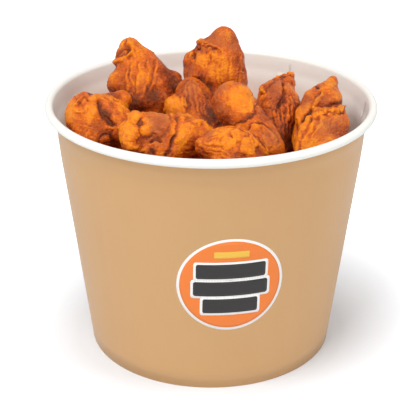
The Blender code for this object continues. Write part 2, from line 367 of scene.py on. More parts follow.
@dataclass(frozen=True)
class CoatedBoard:
    """Smooth coated paper board with faint fibres."""

    name: str
    colour: Colour
    shade: Colour
    roughness: float

    def material(self) -> bpy.types.Material:
        """Builds the node material."""
        kit = NodeKit(self.name)
        clouds = kit.noise(35.0, 3.0, 0.5)
        fibres = kit.noise(700.0, 3.0, 0.6, (1.0, 1.0, 0.12))
        tint = kit.mix(kit.math("MULTIPLY", clouds, 0.35), self.colour, self.shade)
        colour = kit.mix(kit.math("MULTIPLY", fibres, 0.18), tint, self.shade)
        kit.join(colour, kit.shader.inputs["Base Color"])
        rough = kit.math("ADD", kit.math("MULTIPLY", fibres, 0.12), self.roughness - 0.06)
        kit.join(rough, kit.shader.inputs["Roughness"])
        kit.join(kit.bump(fibres, 0.12, 0.0002), kit.shader.inputs["Normal"])
        return kit.material


KRAFT = CoatedBoard("kraft_outside", (0.585, 0.335, 0.14), (0.505, 0.275, 0.105), 0.38)
WHITE = CoatedBoard("white_inside", (0.84, 0.83, 0.78), (0.79, 0.77, 0.71), 0.5)


@dataclass(frozen=True)
class Ink:
    """A flat field of print on the sticker."""

    name: str
    colour: Colour
    roughness: float = 0.38

    def material(self) -> bpy.types.Material:
        """Builds the node material."""
        kit = NodeKit(self.name)
        grain = kit.noise(1500.0, 2.0)
        deeper = tuple(0.85 * channel for channel in self.colour)
        kit.join(kit.mix(kit.math("MULTIPLY", grain, 0.5), self.colour, deeper),
                 kit.shader.inputs["Base Color"])
        kit.join(kit.math("ADD", kit.math("MULTIPLY", grain, 0.1), self.roughness - 0.05),
                 kit.shader.inputs["Roughness"])
        return kit.material


# ---- The bucket -----------------------------------------------------------------

@dataclass
class Bucket:
    """The paper wall with its rolled rim and hem, its seams and the recessed base."""

    paper: float = 0.6 * MM
    curl_radius: float = 2.5 * MM
    gap: float = 0.3 * MM
    hem_height: float = 10.0 * MM
    base_radius: float = 82.0 * MM
    shoulder_drop: float = 14.0 * MM
    shoulder_step: float = 1.1 * MM
    curl_start: float = math.radians(-110)
    curl_end: float = math.radians(172)
    curl_steps: int = 18
    wall_steps: int = 12
    turns: int = 240
    rim_radius: float = field(init=False)
    height: float = field(init=False)

    def __post_init__(self) -> None:
        """Reads the rim's radius and the height from the frame."""
        low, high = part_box("bucket_wall")
        self.rim_radius = (high[0] - low[0]) / 2 - 0.01 * MM
        self.height = high[2] - low[2]

    def wall_middle(self, height: float) -> float:
        """Radius of the middle of the wall's paper at a height."""
        top_height = self.height - self.paper / 2 - self.curl_radius
        top = self.rim_radius - self.paper / 2 - 2 * self.curl_radius
        bottom = self.base_radius - self.paper / 2
        return bottom + (top - bottom) * height / top_height

    def wall_outline(self) -> list[tuple[float, float]]:
        """From the end of the curl, over the rim, down the wall and up the hem."""
        curl_height = self.height - self.paper / 2 - self.curl_radius
        curl_middle = self.wall_middle(curl_height) + self.curl_radius
        outline = []
        for step in range(self.curl_steps + 1):
            angle = self.curl_start + (self.curl_end - self.curl_start) * step / self.curl_steps
            outline.append((curl_middle + self.curl_radius * math.cos(angle),
                            curl_height + self.curl_radius * math.sin(angle)))
        shoulder = self.height - self.shoulder_drop
        step_in = self.shoulder_step
        outline.append((self.wall_middle(shoulder + 4 * step_in), shoulder + 4 * step_in))
        outline.append((self.wall_middle(shoulder), shoulder))
        outline.append((self.wall_middle(shoulder) - step_in, shoulder - 2 * step_in))
        outline.append((self.wall_middle(shoulder - 8 * step_in) - 0.3 * step_in,
                        shoulder - 8 * step_in))
        for step in range(1, self.wall_steps):
            height = (shoulder - 10 * step_in) * (1 - step / self.wall_steps)
            outline.append((self.wall_middle(height), height))
        low = self.paper / 2
        hem = 2 * (self.paper + self.gap)
        outline.append((self.wall_middle(low), low))
        outline.append((self.wall_middle(low) - hem, low))
        outline.append((self.wall_middle(self.hem_height) - hem, self.hem_height))
        return outline

    def base_outline(self) -> list[tuple[float, float]]:
        """From the skirt's lower edge, up inside the wall and across to the axis."""
        skirt = self.paper + self.gap
        high = self.hem_height + self.gap + self.paper / 2
        bend = 1.5 * MM
        return [
            (self.wall_middle(skirt) - skirt, skirt),
            (self.wall_middle(high - bend) - skirt, high - bend),
            (self.wall_middle(high) - skirt - 0.3 * bend, high - 0.3 * bend),
            (self.wall_middle(high) - skirt - bend, high),
            (0.5 * self.base_radius, high),
            (0.0, high),
        ]

    def turned(self, name: str, outline: list[tuple[float, float]]) -> bpy.types.Object:
        """Turns an open outline round the upright axis into a sheet of paper.

        Args:
            name: The piece's name.
            outline: Radius and height of each point, outer side first.

        Returns:
            The piece, with its thickness as a modifier.
        """
        bm = bmesh.new()
        points = [bm.verts.new((radius, 0.0, height)) for radius, height in outline]
        for first, second in zip(points, points[1:]):
            bm.edges.new((first, second))
        bmesh.ops.spin(bm, geom=bm.verts[:] + bm.edges[:], cent=(0, 0, 0), axis=(0, 0, 1),
                       angle=2 * math.pi, steps=self.turns, use_merge=True, use_duplicate=False)
        bmesh.ops.remove_doubles(bm, verts=bm.verts, dist=0.00001)
        bmesh.ops.recalc_face_normals(bm, faces=bm.faces)
        for face in bm.faces:
            face.smooth = True
        piece = new_object(name, mesh_from(name, bm))
        thickness = piece.modifiers.new("paper", "SOLIDIFY")
        thickness.thickness = self.paper
        thickness.offset = 0.0
        thickness.use_even_offset = True
        return piece

    def seam(self, name: str, angle: float, width: float) -> bpy.types.Object:
        """A narrow overlap of the paper that runs up the inside of the wall.

        Args:
            name: The piece's name.
            angle: Where it lies round the bucket, in degrees from +X.
            width: How wide it is.

        Returns:
            The strip, lying on the paper.
        """
        bm = bmesh.new()
        bmesh.ops.create_grid(bm, x_segments=4, y_segments=40, size=0.5)
        low, high = self.hem_height + 4.0 * MM, self.height - 4.0 * MM
        for vertex in bm.verts:
            height = low + (high - low) * (vertex.co.y + 0.5)
            drop = self.shoulder_step if height < self.height - self.shoulder_drop else 0.0
            radius = self.wall_middle(height) - self.paper - 0.4 * MM - drop
            turn = math.radians(angle) + vertex.co.x * width / radius
            vertex.co = (radius * math.cos(turn), radius * math.sin(turn), height)
        bmesh.ops.solidify(bm, geom=bm.faces, thickness=self.gap)
        bmesh.ops.recalc_face_normals(bm, faces=bm.faces)
        return new_object(name, mesh_from(name, bm))

    def build(self) -> list[bpy.types.Object]:
        """Makes the wall, the base and the seams and dresses them.

        Returns:
            The finished pieces.
        """
        outside = KRAFT.material()
        inside = WHITE.material()
        wall = self.turned("bucket_wall_paper", self.wall_outline())
        wall.data.materials.append(outside)
        wall.data.materials.append(inside)
        self.sort_sides(wall)
        base = self.turned("bucket_base_board", self.base_outline())
        base.data.materials.append(inside)
        for piece, node in ((wall, "bucket_wall"), (base, "bucket_base")):
            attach(piece, ROOT)
            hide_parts(node)
        seams = [self.seam("seam_back", 59.0, 9.0 * MM), self.seam("seam_right", 4.0, 1.6 * MM)]
        for strip in seams:
            strip.data.materials.append(inside)
            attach(strip, ROOT)
        return [wall, base, *seams]

    def sort_sides(self, wall: bpy.types.Object) -> None:
        """Gives the sheet's two sides their colours, whichever way it was turned."""
        thickness = wall.modifiers["paper"]
        middle = min(wall.data.polygons,
                     key=lambda face: abs(face.center.z - self.height / 2))
        outwards = middle.normal.x * middle.center.x + middle.normal.y * middle.center.y > 0
        thickness.material_offset = 1
        if not outwards:
            wall.data.flip_normals()
        thickness.material_offset_rim = 1


# ---- The sticker ----------------------------------------------------------------

@dataclass
class Sticker:
    """A round sticker with a white border, a field of orange and plain dark bars."""

    bucket: Bucket
    radius: float = field(init=False)
    height: float = field(init=False)
    angle: float = field(init=False)
    border: float = 1.8 * MM
    lift: float = 0.05 * MM

    def __post_init__(self) -> None:
        """Reads the sticker's place and radius from the frame."""
        low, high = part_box("label")
        self.height = (low[2] + high[2]) / 2
        self.radius = (high[2] - low[2]) / 2 / math.cos(self.lean())
        self.angle = math.atan2((low[0] + high[0]) / 2, -low[1])

    def lean(self) -> float:
        """How far the wall leans out from upright, in radians."""
        rise = self.bucket.height
        return math.atan((self.bucket.wall_middle(rise) - self.bucket.wall_middle(0.0)) / rise)

    def wrap(self, bm: bmesh.types.BMesh, layer: int) -> None:
        """Bends a flat shape round the wall.

        Args:
            bm: The flat shape, centred on the sticker.
            layer: Which layer of print it is, from 0 at the paper.
        """
        for vertex in bm.verts:
            height = self.height + vertex.co.y * math.cos(self.lean())
            offset = self.bucket.paper / 2 + self.lift * (layer + 1) + vertex.co.z
            radius = self.bucket.wall_middle(height) + offset
            angle = self.angle + vertex.co.x / radius
            vertex.co = (radius * math.sin(angle), -radius * math.cos(angle), height)

    def disc(self, radius: float, layer: int, slot: int) -> bmesh.types.BMesh:
        """A round field of one colour."""
        bm = bmesh.new()
        bmesh.ops.create_circle(bm, cap_ends=True, cap_tris=True, segments=96, radius=radius)
        spokes = [edge for edge in bm.edges if not edge.is_boundary]
        bmesh.ops.subdivide_edges(bm, edges=spokes, cuts=11)
        return self.finish_layer(bm, layer, slot)

    def bar(self, centre: tuple[float, float], half: tuple[float, float], layer: int,
            slot: int) -> bmesh.types.BMesh:
        """A bar with round ends.

        Args:
            centre: Its middle on the flat sticker.
            half: Half its length and half its height.
            layer: Which layer of print it is.
            slot: Its colour's material slot.

        Returns:
            The bent bar.
        """
        bm = bmesh.new()
        bmesh.ops.create_grid(bm, x_segments=28, y_segments=6, size=1.0)
        bmesh.ops.scale(bm, vec=(half[0], half[1], 1.0), verts=bm.verts)
        corners = [vertex for vertex in bm.verts if len(vertex.link_edges) == 2]
        bmesh.ops.bevel(bm, geom=corners, affect="VERTICES", offset=0.55 * half[1], segments=6,
                        profile=0.5, material=-1)
        bmesh.ops.translate(bm, vec=(centre[0], centre[1], 0.0), verts=bm.verts)
        return self.finish_layer(bm, layer, slot)

    def finish_layer(self, bm: bmesh.types.BMesh, layer: int, slot: int) -> bmesh.types.BMesh:
        """Gives a flat shape its colour and a hair of thickness, and bends it."""
        for face in bm.faces:
            face.material_index = slot
            face.smooth = True
        bmesh.ops.solidify(bm, geom=bm.faces, thickness=-0.03 * MM)
        self.wrap(bm, layer)
        return bm

    def build(self) -> bpy.types.Object:
        """Makes the sticker as one piece of layered print.

        Returns:
            The finished piece.
        """
        inks = (Ink("sticker_white", (0.86, 0.85, 0.82)),
                Ink("sticker_orange", (0.84, 0.20, 0.02)),
                Ink("sticker_black", (0.018, 0.015, 0.014)),
                Ink("sticker_yellow", (0.85, 0.50, 0.05)))
        inner = self.radius - self.border
        rows = ((0.32, 0.68, 0.165), (-0.08, 0.73, 0.165), (-0.48, 0.54, 0.165))
        layers = [self.disc(self.radius, 0, 0), self.disc(inner, 1, 1)]
        edge = 0.05
        for place, length, thick in rows:
            centre = (0.0, place * inner)
            layers.append(self.bar(centre, ((length + edge) * inner, (thick + edge) * inner), 2, 0))
            layers.append(self.bar(centre, (length * inner, thick * inner), 3, 2))
        layers.append(self.bar((0.0, 0.70 * inner), (0.34 * inner, 0.07 * inner), 2, 3))
        mesh = self.joined(layers)
        for ink in inks:
            mesh.materials.append(ink.material())
        piece = new_object("sticker", mesh)
        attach(piece, ROOT)
        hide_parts("label")
        return piece

    @staticmethod
    def joined(layers: list[bmesh.types.BMesh]) -> bpy.types.Mesh:
        """Joins the layers into one mesh.

        Args:
            layers: The bent layers; each is freed.

        Returns:
            The joined mesh.
        """
        whole = bmesh.new()
        for layer in layers:
            whole.from_mesh(mesh_from("layer", layer))
        bmesh.ops.recalc_face_normals(whole, faces=whole.faces)
        return mesh_from("sticker", whole)


# ---- The wings ------------------------------------------------------------------

class Tone(Enum):
    """What a patch of skin looks like: how it shifts the roast and the dryness."""

    GOLD = (-0.32, -0.5)
    RUSSET = (0.3, 0.0)
    # DARK is a deeply browned tone that also serves as painted shade: its patches sit in creases
    # and hollows and on the lower and right-hand parts of the wings.
    DARK = (0.6, -0.2)
    DRY = (0.06, 0.75)


@dataclass(frozen=True)
class Patch:
    """A soft patch of one tone, placed as shares of the wing's front."""

    place: tuple[float, float]
    size: float
    tone: Tone


@dataclass(frozen=True)
class Fold:
    """A raised fold of skin, steep on its right, or a crease where its height is negative."""

    start: tuple[float, float]
    bend: tuple[float, float]
    end: tuple[float, float]
    height: float
    width: float
    lip: float = 0.45

    def towards(self, other: Fold, share: float) -> Fold:
        """The fold that lies part of the way to another one."""
        def between(first: tuple[float, float], last: tuple[float, float]) -> tuple[float, float]:
            return tuple(start + (end - start) * share for start, end in zip(first, last))
        return Fold(between(self.start, other.start), between(self.bend, other.bend),
                    between(self.end, other.end), self.height, self.width, self.lip)


def pleats(first: Fold, last: Fold, count: int) -> tuple[Fold, ...]:
    """Folds laid side by side, not quite evenly, from a first one to a last one."""
    return tuple(first.towards(last, (step + 0.3 * math.sin(5.0 * step)) / (count - 1))
                 for step in range(count))


@dataclass(frozen=True)
class Knob:
    """A round swelling with a crisp foot, its radius and height in millimetres."""

    place: tuple[float, float]
    radius: float
    height: float


@dataclass(frozen=True)
class Crust:
    """How deep a wing's own unevenness is, in millimetres."""

    lumps: float = 1.0
    dents: float = 0.35
    wrinkles: float = 0.55
    blisters: float = 0.35
    grain: float = 0.2


class Skin:
    """The surface of one wing as arrays that are shaped and coloured together."""

    def __init__(self, mesh: bpy.types.Mesh, seed: int) -> None:
        """Reads the mesh's points and edges."""
        self.mesh = mesh
        self.seed = seed
        count = len(mesh.vertices)
        self.points = np.empty(3 * count)
        mesh.vertices.foreach_get("co", self.points)
        self.points = self.points.reshape(-1, 3)
        edges = np.empty(2 * len(mesh.edges), dtype=int)
        mesh.edges.foreach_get("vertices", edges)
        self.edges = edges.reshape(-1, 2)
        self.degree = np.bincount(self.edges.ravel(), minlength=count)
        self.roast_and_shade = np.zeros(count)
        self.dry = np.zeros(count)

    def normals(self) -> np.ndarray:
        """The points' normals as the mesh now lies."""
        self.store()
        values = np.empty(3 * len(self.points))
        self.mesh.vertices.foreach_get("normal", values)
        return values.reshape(-1, 3)

    def store(self) -> None:
        """Writes the points back to the mesh."""
        self.mesh.vertices.foreach_set("co", self.points.ravel())
        self.mesh.update()

    def spread(self, values: np.ndarray, rounds: int) -> np.ndarray:
        """Averages values with their neighbours.

        Args:
            values: One row for each point.
            rounds: How many times.

        Returns:
            The averaged values.
        """
        flat = values.reshape(len(values), -1).astype(float)
        for _ in range(rounds):
            total = np.empty_like(flat)
            for column in range(flat.shape[1]):
                source = flat[:, column]
                total[:, column] = (
                    np.bincount(self.edges[:, 0], source[self.edges[:, 1]], len(flat))
                    + np.bincount(self.edges[:, 1], source[self.edges[:, 0]], len(flat)))
            flat = 0.5 * flat + 0.5 * total / self.degree[:, None]
        return flat.reshape(values.shape)

    def front(self) -> tuple[np.ndarray, np.ndarray]:
        """Each point's place across and up the wing's front.

        Returns:
            Millimetres from the front's lower left corner, and its width and height.
        """
        across = self.points[:, 0]
        up = self.points[:, 2] * math.cos(VIEW_PITCH) + self.points[:, 1] * math.sin(VIEW_PITCH)
        flat = np.stack((across, up), axis=1) / MM
        low = flat.min(axis=0)
        return flat - low, flat.max(axis=0) - low

    def facing(self, normals: np.ndarray) -> np.ndarray:
        """How far each point faces the front, from 0 to 1."""
        view = np.array((0.0, -math.cos(VIEW_PITCH), math.sin(VIEW_PITCH)))
        return smoothstep(-0.15, 0.35, normals @ view)

    def lift(self, heights: np.ndarray) -> None:
        """Moves the points out along their normals.

        Args:
            heights: How far, in millimetres.
        """
        self.points = self.points + self.normals() * heights[:, None] * MM

    def add_folds(self, folds: tuple[Fold, ...]) -> None:
        """Raises each fold on the side that faces the front, with a painted highlight on its crest,
        painted shade under its lip, and painted shade along a crease.
        """
        place, size = self.front()
        facing = self.facing(self.normals())
        jitter = SoftNoise(self.seed + 70)(self.points / (4.0 * MM))
        sway = SoftNoise(self.seed + 71)(self.points / (6.0 * MM))
        place = place + np.stack((sway, jitter), axis=1) * 1.5
        heights = np.zeros(len(self.points))
        for fold in folds:
            start, bend, end = (np.array(point) * size
                                for point in (fold.start, fold.bend, fold.end))
            share = np.linspace(0.0, 1.0, 25)[:, None]
            path = (1 - share) ** 2 * start + 2 * share * (1 - share) * bend + share ** 2 * end
            away = place[:, None, :] - path[None, :, :]
            distance = np.linalg.norm(away, axis=2)
            nearest = distance.argmin(axis=1)
            heading = np.gradient(path, axis=0)[nearest]
            heading /= np.linalg.norm(heading, axis=1, keepdims=True)
            offset = away[np.arange(len(place)), nearest]
            side = heading[:, 0] * offset[:, 1] - heading[:, 1] * offset[:, 0]
            width = fold.width * (1.0 + 0.45 * jitter)
            reach = np.where(side > 0, width, width * fold.lip)
            least = distance.min(axis=1)
            bell = np.exp(-(least / np.maximum(reach, 0.2)) ** 2) * facing
            heights += fold.height * bell * (1.0 + 0.5 * sway)
            # Painted highlight on the crest and painted shade under the steep lip; a crease gets
            # painted shade along it.
            if fold.height > 0:
                depth = min(fold.height, 1.5)
                under = np.exp(-((least - 1.1 * fold.width) / (0.6 * fold.width)) ** 2)
                self.roast_and_shade += depth * (0.16 * under * (side < 0) * facing - 0.10 * bell)
                heights -= 0.3 * fold.height * under * (side < 0) * facing
            else:
                self.roast_and_shade += 0.35 * bell
        self.lift(heights)

    def add_knobs(self, knobs: tuple[Knob, ...]) -> None:
        """Swells each knob on the side that faces the front, with painted shade round its foot and
        a painted highlight on its dome.
        """
        place, size = self.front()
        facing = self.facing(self.normals())
        jitter = SoftNoise(self.seed + 80)(self.points / (4.0 * MM))
        domes = np.zeros(len(self.points))
        for knob in knobs:
            away = np.linalg.norm(place - np.array(knob.place) * size, axis=1) / knob.radius
            away = away * (1.0 + 0.35 * jitter)
            dome = np.clip(1.0 - away ** 2, 0.0, 1.0) ** 0.7
            domes = np.maximum(domes, knob.height * dome * facing)
            # Painted shade round the foot, painted highlight on the dome.
            foot = np.exp(-((away - 1.05) / 0.2) ** 2) * (domes < 0.3 * knob.height)
            self.roast_and_shade += facing * (0.18 * foot - 0.06 * dome)
        self.lift(domes)

    def add_crust(self, crust: Crust, bone: np.ndarray) -> None:
        """Adds lumps and dents, wrinkles where the skin is slack, blisters and grain.

        Args:
            crust: How deep each of them is.
            bone: The direction that the wrinkles follow.
        """
        points = self.points / MM
        warp = np.stack([SoftNoise(self.seed + 30 + axis)(points / 9.0) for axis in range(3)],
                        axis=1)
        drawn = points - 0.55 * np.outer(points @ bone, bone) + 3.0 * warp
        ridges = 1.0 - 2.0 * np.abs(SoftNoise(self.seed + 2)(drawn / 5.0))
        finer = 1.0 - 2.0 * np.abs(SoftNoise(self.seed + 3)(drawn / 2.5))
        slack = smoothstep(-0.1, 0.5, SoftNoise(self.seed + 4)(points / 14.0))
        blistered = smoothstep(0.0, 0.45, SoftNoise(self.seed + 6)(points / 10.0))
        blisters = smoothstep(0.05, 0.7, SoftNoise(self.seed + 5)(points / 2.0))
        self.lift(crust.lumps * SoftNoise(self.seed)(points / 13.0)
                  + crust.dents * SoftNoise(self.seed + 1)((points + 2.0 * warp) / 6.0))
        self.lift(crust.wrinkles * ((0.08 + 0.8 * slack) * ridges + (0.04 + 0.45 * slack) * finer)
                  + crust.blisters * blisters * blistered
                  + crust.grain * SoftNoise(self.seed + 7)(points / 1.2))
        self.dry += 0.2 * blistered * (0.4 + blisters)

    def paint(self, patches: tuple[Patch, ...], base: float) -> None:
        """Works out the roast with its painted shade, the dryness and the painted shade of the
        hollows.

        Args:
            patches: Patches of their own tone.
            base: The wing's roast without them.
        """
        normals = self.normals()
        fine = ((self.spread(self.points, 5) - self.points) * normals).sum(axis=1) / MM
        broad = ((self.spread(self.points, 60) - self.points) * normals).sum(axis=1) / MM
        clouds = SoftNoise(self.seed + 8)(self.points / (12.0 * MM))
        blotch = SoftNoise(self.seed + 9)(self.points / (5.0 * MM))
        self.roast_and_shade += base + 0.24 * clouds + 0.05 * blotch
        # Painted shade: darker where the surface is hollow, lighter on bulges.
        self.roast_and_shade += np.clip(0.6 * fine, -0.12, 0.22) + np.clip(0.35 * broad, -0.15, 0.4)
        # Painted shade on faces that turn down and on faces that turn to the right, away from the
        # key lamp.
        self.roast_and_shade += 0.25 * smoothstep(0.2, -0.7, normals[:, 2])
        self.roast_and_shade += 0.12 * smoothstep(0.2, 0.95, normals[:, 0])
        self.dry += 0.2 * smoothstep(0.2, 0.8, blotch + 0.6 * clouds)
        place, size = self.front()
        facing = self.facing(normals)
        for patch in patches:
            away = np.linalg.norm(place - np.array(patch.place) * size, axis=1)
            ragged = away * (1.0 + 0.3 * blotch + 0.2 * clouds)
            cover = facing * (1.0 - smoothstep(0.15 * patch.size, 1.45 * patch.size, ragged))
            self.roast_and_shade += patch.tone.value[0] * cover
            self.dry += patch.tone.value[1] * cover
        # Painted shade in the hollows, broad and fine.
        painted_hollow_shade = smoothstep(0.5, 1.5, broad) * 0.5 + smoothstep(0.12, 0.4, fine) * 0.2
        self.write("roast_and_shade", np.clip(self.roast_and_shade, 0.12, 1.0))
        self.write("dry", np.clip(self.dry, 0.0, 1.0))
        self.write("painted_hollow_shade", np.clip(painted_hollow_shade, 0.0, 0.85))

    def write(self, name: str, values: np.ndarray) -> None:
        """Stores one value for each point under a name."""
        layer = self.mesh.attributes.new(name, "FLOAT", "POINT")
        layer.data.foreach_set("value", values.astype(np.float32))


def evened(raw: bpy.types.Object, voxel: float, rounds: int) -> bpy.types.Mesh:
    """Gives a raw shape an even closed mesh.

    Args:
        raw: The raw shape; it is removed.
        voxel: The mesh's grain.
        rounds: How many times it is smoothed.

    Returns:
        The even mesh.
    """
    even = raw.modifiers.new("even", "REMESH")
    even.mode = "VOXEL"
    even.voxel_size = voxel
    if rounds:
        smooth = raw.modifiers.new("smooth", "SMOOTH")
        smooth.factor = 0.5
        smooth.iterations = rounds
    return applied(raw)


def dressed(name: str, mesh: bpy.types.Mesh, finish: bpy.types.Material) -> bpy.types.Object:
    """Makes a finished mesh a piece of the filling.

    Args:
        name: The piece's name.
        mesh: Its finished mesh.
        finish: The fried skin's material.

    Returns:
        The piece, riding on the bucket.
    """
    mesh.materials.clear()
    mesh.materials.append(finish)
    mesh.shade_smooth()
    piece = new_object(name, mesh)
    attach(piece, ROOT)
    return piece


@dataclass
class FriedWing:
    """One wing: the frame's solid, given its skin, folds, roast and painted shade."""

    node: str
    seed: int
    roast_and_shade: float = 0.36
    folds: tuple[Fold, ...] = ()
    knobs: tuple[Knob, ...] = ()
    patches: tuple[Patch, ...] = ()
    crust: Crust = Crust()
    voxel: float = 0.6 * MM
    swell: float = 0.3

    def body(self) -> bpy.types.Mesh:
        """The solid's shape, rounded and divided finely.

        Returns:
            An even closed mesh.
        """
        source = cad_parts[self.node].data
        bm = bmesh.new()
        bm.from_mesh(source)
        bmesh.ops.remove_doubles(bm, verts=bm.verts, dist=0.00002)
        raw = new_object(self.node + "_raw", mesh_from(self.node + "_raw", bm))
        soft = raw.modifiers.new("soft", "SUBSURF")
        soft.levels = soft.render_levels = 2
        return evened(raw, self.voxel, 6)

    def build(self, finish: bpy.types.Material) -> bpy.types.Object:
        """Shapes, colours and places the wing.

        Args:
            finish: The fried skin's material.

        Returns:
            The finished piece.
        """
        mesh = self.body()
        skin = Skin(mesh, self.seed)
        centred = skin.points - skin.points.mean(axis=0)
        bone = np.linalg.svd(centred, full_matrices=False)[2][0]
        skin.lift(np.full(len(skin.points), self.swell))
        skin.add_knobs(self.knobs)
        skin.add_folds(self.folds)
        skin.add_crust(self.crust, bone)
        skin.paint(self.patches, self.roast_and_shade)
        skin.store()
        piece = dressed(self.node + "_fried", mesh, finish)
        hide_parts(self.node)
        return piece


